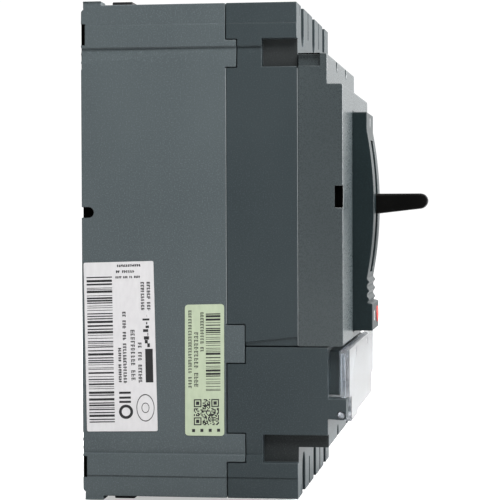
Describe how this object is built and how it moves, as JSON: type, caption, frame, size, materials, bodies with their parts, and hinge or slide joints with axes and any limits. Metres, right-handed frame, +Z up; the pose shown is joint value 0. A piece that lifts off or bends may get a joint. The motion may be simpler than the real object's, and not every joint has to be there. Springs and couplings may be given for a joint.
{
  "type": "moulded case circuit breaker",
  "caption": "Moulded-case circuit breaker: grey moulded case, black toggle in a raised escutcheon, clear hinged cover over the trip dials, and bolted terminals in wells at both ends.",
  "frame": {"origin": "centre of the flat rear mounting face", "axes": "+Z up towards the line terminals, -Y out of the front towards the operator, +X to the operator's right"},
  "size_m": [0.1052, 0.111, 0.164],
  "materials": {
    "case_grey": "fine moulded grain, light grey",
    "cover_grey": "fine moulded grain, darker grey",
    "escutcheon_black": "satin moulded",
    "clear_plastic": "clear, polished",
    "label_white": "printed polyester film",
    "label_green": "printed polyester film",
    "handle_black": "satin moulded",
    "zinc_steel": "zinc-plated sheet",
    "bright_steel": "bright drawn",
    "spring_steel": "drawn wire",
    "dial_grey": "satin moulded",
    "button_red": "semi-gloss moulded",
    "rotor_resin": "glass-filled resin",
    "copper": "bare copper with silver-faced tips",
    "chute_steel": "plated arc plates between fibre walls",
    "tinned_copper": "tin-plated copper",
    "clip_black": "satin moulded"
  },
  "bodies": {
    "housing": {"base": "case_grey", "upper_cover": "cover_grey", "front_frame": "cover_grey", "toggle_escutcheon": "escutcheon_black", "trip_unit_case": "cover_grey", "side_rating_label": "label_white", "side_trace_label": "label_green", "yoke_pivot_pin": "bright_steel", "mechanism_plate_left": "zinc_steel", "mechanism_plate_right": "zinc_steel", "cradle_pin": "bright_steel", "button_spring": "spring_steel", "line_arc_chute_1": "chute_steel", "load_arc_chute_1": "chute_steel", "line_terminal_1": "tinned_copper", "load_contact_1": "copper", "load_terminal_1": "tinned_copper", "line_nut_clip_1": "clip_black", "load_nut_clip_1": "clip_black", "bimetal_1": "zinc_steel", "line_arc_chute_2": "chute_steel", "load_arc_chute_2": "chute_steel", "line_terminal_2": "tinned_copper", "load_contact_2": "copper", "load_terminal_2": "tinned_copper", "line_nut_clip_2": "clip_black", "load_nut_clip_2": "clip_black", "bimetal_2": "zinc_steel", "line_arc_chute_3": "chute_steel", "load_arc_chute_3": "chute_steel", "line_terminal_3": "tinned_copper", "load_contact_3": "copper", "load_terminal_3": "tinned_copper", "line_nut_clip_3": "clip_black", "load_nut_clip_3": "clip_black", "bimetal_3": "zinc_steel"},
    "handle": {"toggle_handle": "handle_black", "slot_shutter": "handle_black", "toggle_yoke": "zinc_steel", "main_spring_left": "spring_steel", "main_spring_right": "spring_steel"},
    "contact_shaft": {"rotor_1": "rotor_resin", "moving_contact_1": "copper", "rotor_2": "rotor_resin", "moving_contact_2": "copper", "rotor_3": "rotor_resin", "moving_contact_3": "copper", "drive_rod_front": "bright_steel", "drive_rod_rear": "bright_steel"},
    "lower_link_arm": {"lower_link": "bright_steel"},
    "cradle_lever": {"cradle": "bright_steel"},
    "upper_link_arm": {"upper_link": "bright_steel"},
    "trip_shaft": {"trip_bar": "escutcheon_black"},
    "trip_button": {"push_to_trip_button": "button_red"},
    "sealing_flap": {"sealing_cover": "clear_plastic"},
    "long_time_knob": {"long_time_dial": "dial_grey"},
    "instantaneous_knob": {"instantaneous_dial": "dial_grey"},
    "armature_plate_1": {"armature_1": "bright_steel"},
    "armature_plate_2": {"armature_2": "bright_steel"},
    "armature_plate_3": {"armature_3": "bright_steel"}
  },
  "joints": [
    {"name": "toggle", "type": "hinge", "parent": "housing", "child": "handle", "pos_m": [0, -0.045, 0.0154], "axis": [-1, 0, 0], "range_deg": [-22, 20], "deforming": ["main_spring_left", "main_spring_right"]},
    {"name": "contact_shaft_turn", "type": "hinge", "parent": "housing", "child": "contact_shaft", "pos_m": [0, -0.027, 0.008], "axis": [-1, 0, 0], "range_deg": [-18.8, 17.1]},
    {"name": "lower_link_pivot", "type": "hinge", "parent": "contact_shaft", "child": "lower_link_arm", "pos_m": [0, -0.03389, 0.00678], "axis": [-1, 0, 0], "range_deg": [-17.1, 18.8]},
    {"name": "cradle_pivot", "type": "hinge", "parent": "housing", "child": "cradle_lever", "pos_m": [0, -0.048, -0.006], "axis": [-1, 0, 0], "range_deg": [0, 4]},
    {"name": "upper_link_pivot", "type": "hinge", "parent": "cradle_lever", "child": "upper_link_arm", "pos_m": [0, -0.07, 0.008], "axis": [-1, 0, 0], "range_deg": [-8.7, 9.6]},
    {"name": "push_to_trip", "type": "slide", "parent": "housing", "child": "trip_button", "axis": [0, 1, 0], "range_m": [0, 0.0016], "stiffness_N_per_m": 400, "springref_m": -0.001, "deforming": ["button_spring"]},
    {"name": "trip_bar_turn", "type": "hinge", "parent": "housing", "child": "trip_shaft", "pos_m": [0, -0.066, -0.037], "axis": [-1, 0, 0], "range_deg": [0, 7.5]},
    {"name": "sealing_cover_hinge", "type": "hinge", "parent": "housing", "child": "sealing_flap", "pos_m": [0, -0.0852, -0.0531], "axis": [1, 0, 0], "range_deg": [0, 105]},
    {"name": "long_time_turn", "type": "hinge", "parent": "housing", "child": "long_time_knob", "pos_m": [-0.026, -0.0823, -0.04], "axis": [0, -1, 0], "range_deg": [-120, 120]},
    {"name": "instantaneous_turn", "type": "hinge", "parent": "housing", "child": "instantaneous_knob", "pos_m": [-0.009, -0.0823, -0.04], "axis": [0, -1, 0], "range_deg": [-120, 120]},
    {"name": "armature_pull_1", "type": "hinge", "parent": "housing", "child": "armature_plate_1", "pos_m": [-0.035, -0.0566, -0.054], "axis": [-1, 0, 0], "range_deg": [0, 5], "stiffness_Nm_per_rad": 0.02, "springref_deg": -5.73},
    {"name": "armature_pull_2", "type": "hinge", "parent": "housing", "child": "armature_plate_2", "pos_m": [0, -0.0566, -0.054], "axis": [-1, 0, 0], "range_deg": [0, 5], "stiffness_Nm_per_rad": 0.02, "springref_deg": -5.73},
    {"name": "armature_pull_3", "type": "hinge", "parent": "housing", "child": "armature_plate_3", "pos_m": [0.035, -0.0566, -0.054], "axis": [-1, 0, 0], "range_deg": [0, 5], "stiffness_Nm_per_rad": 0.02, "springref_deg": -5.73}
  ],
  "couplings": [
    {"joint": "contact_shaft_turn", "follows": "toggle", "ratio": 0.85},
    {"joint": "lower_link_pivot", "follows": "toggle", "ratio": -0.85},
    {"joint": "upper_link_pivot", "follows": "toggle", "ratio": -0.43},
    {"joint": "trip_bar_turn", "follows": "push_to_trip", "rad_per_m": 76.9}
  ]
}
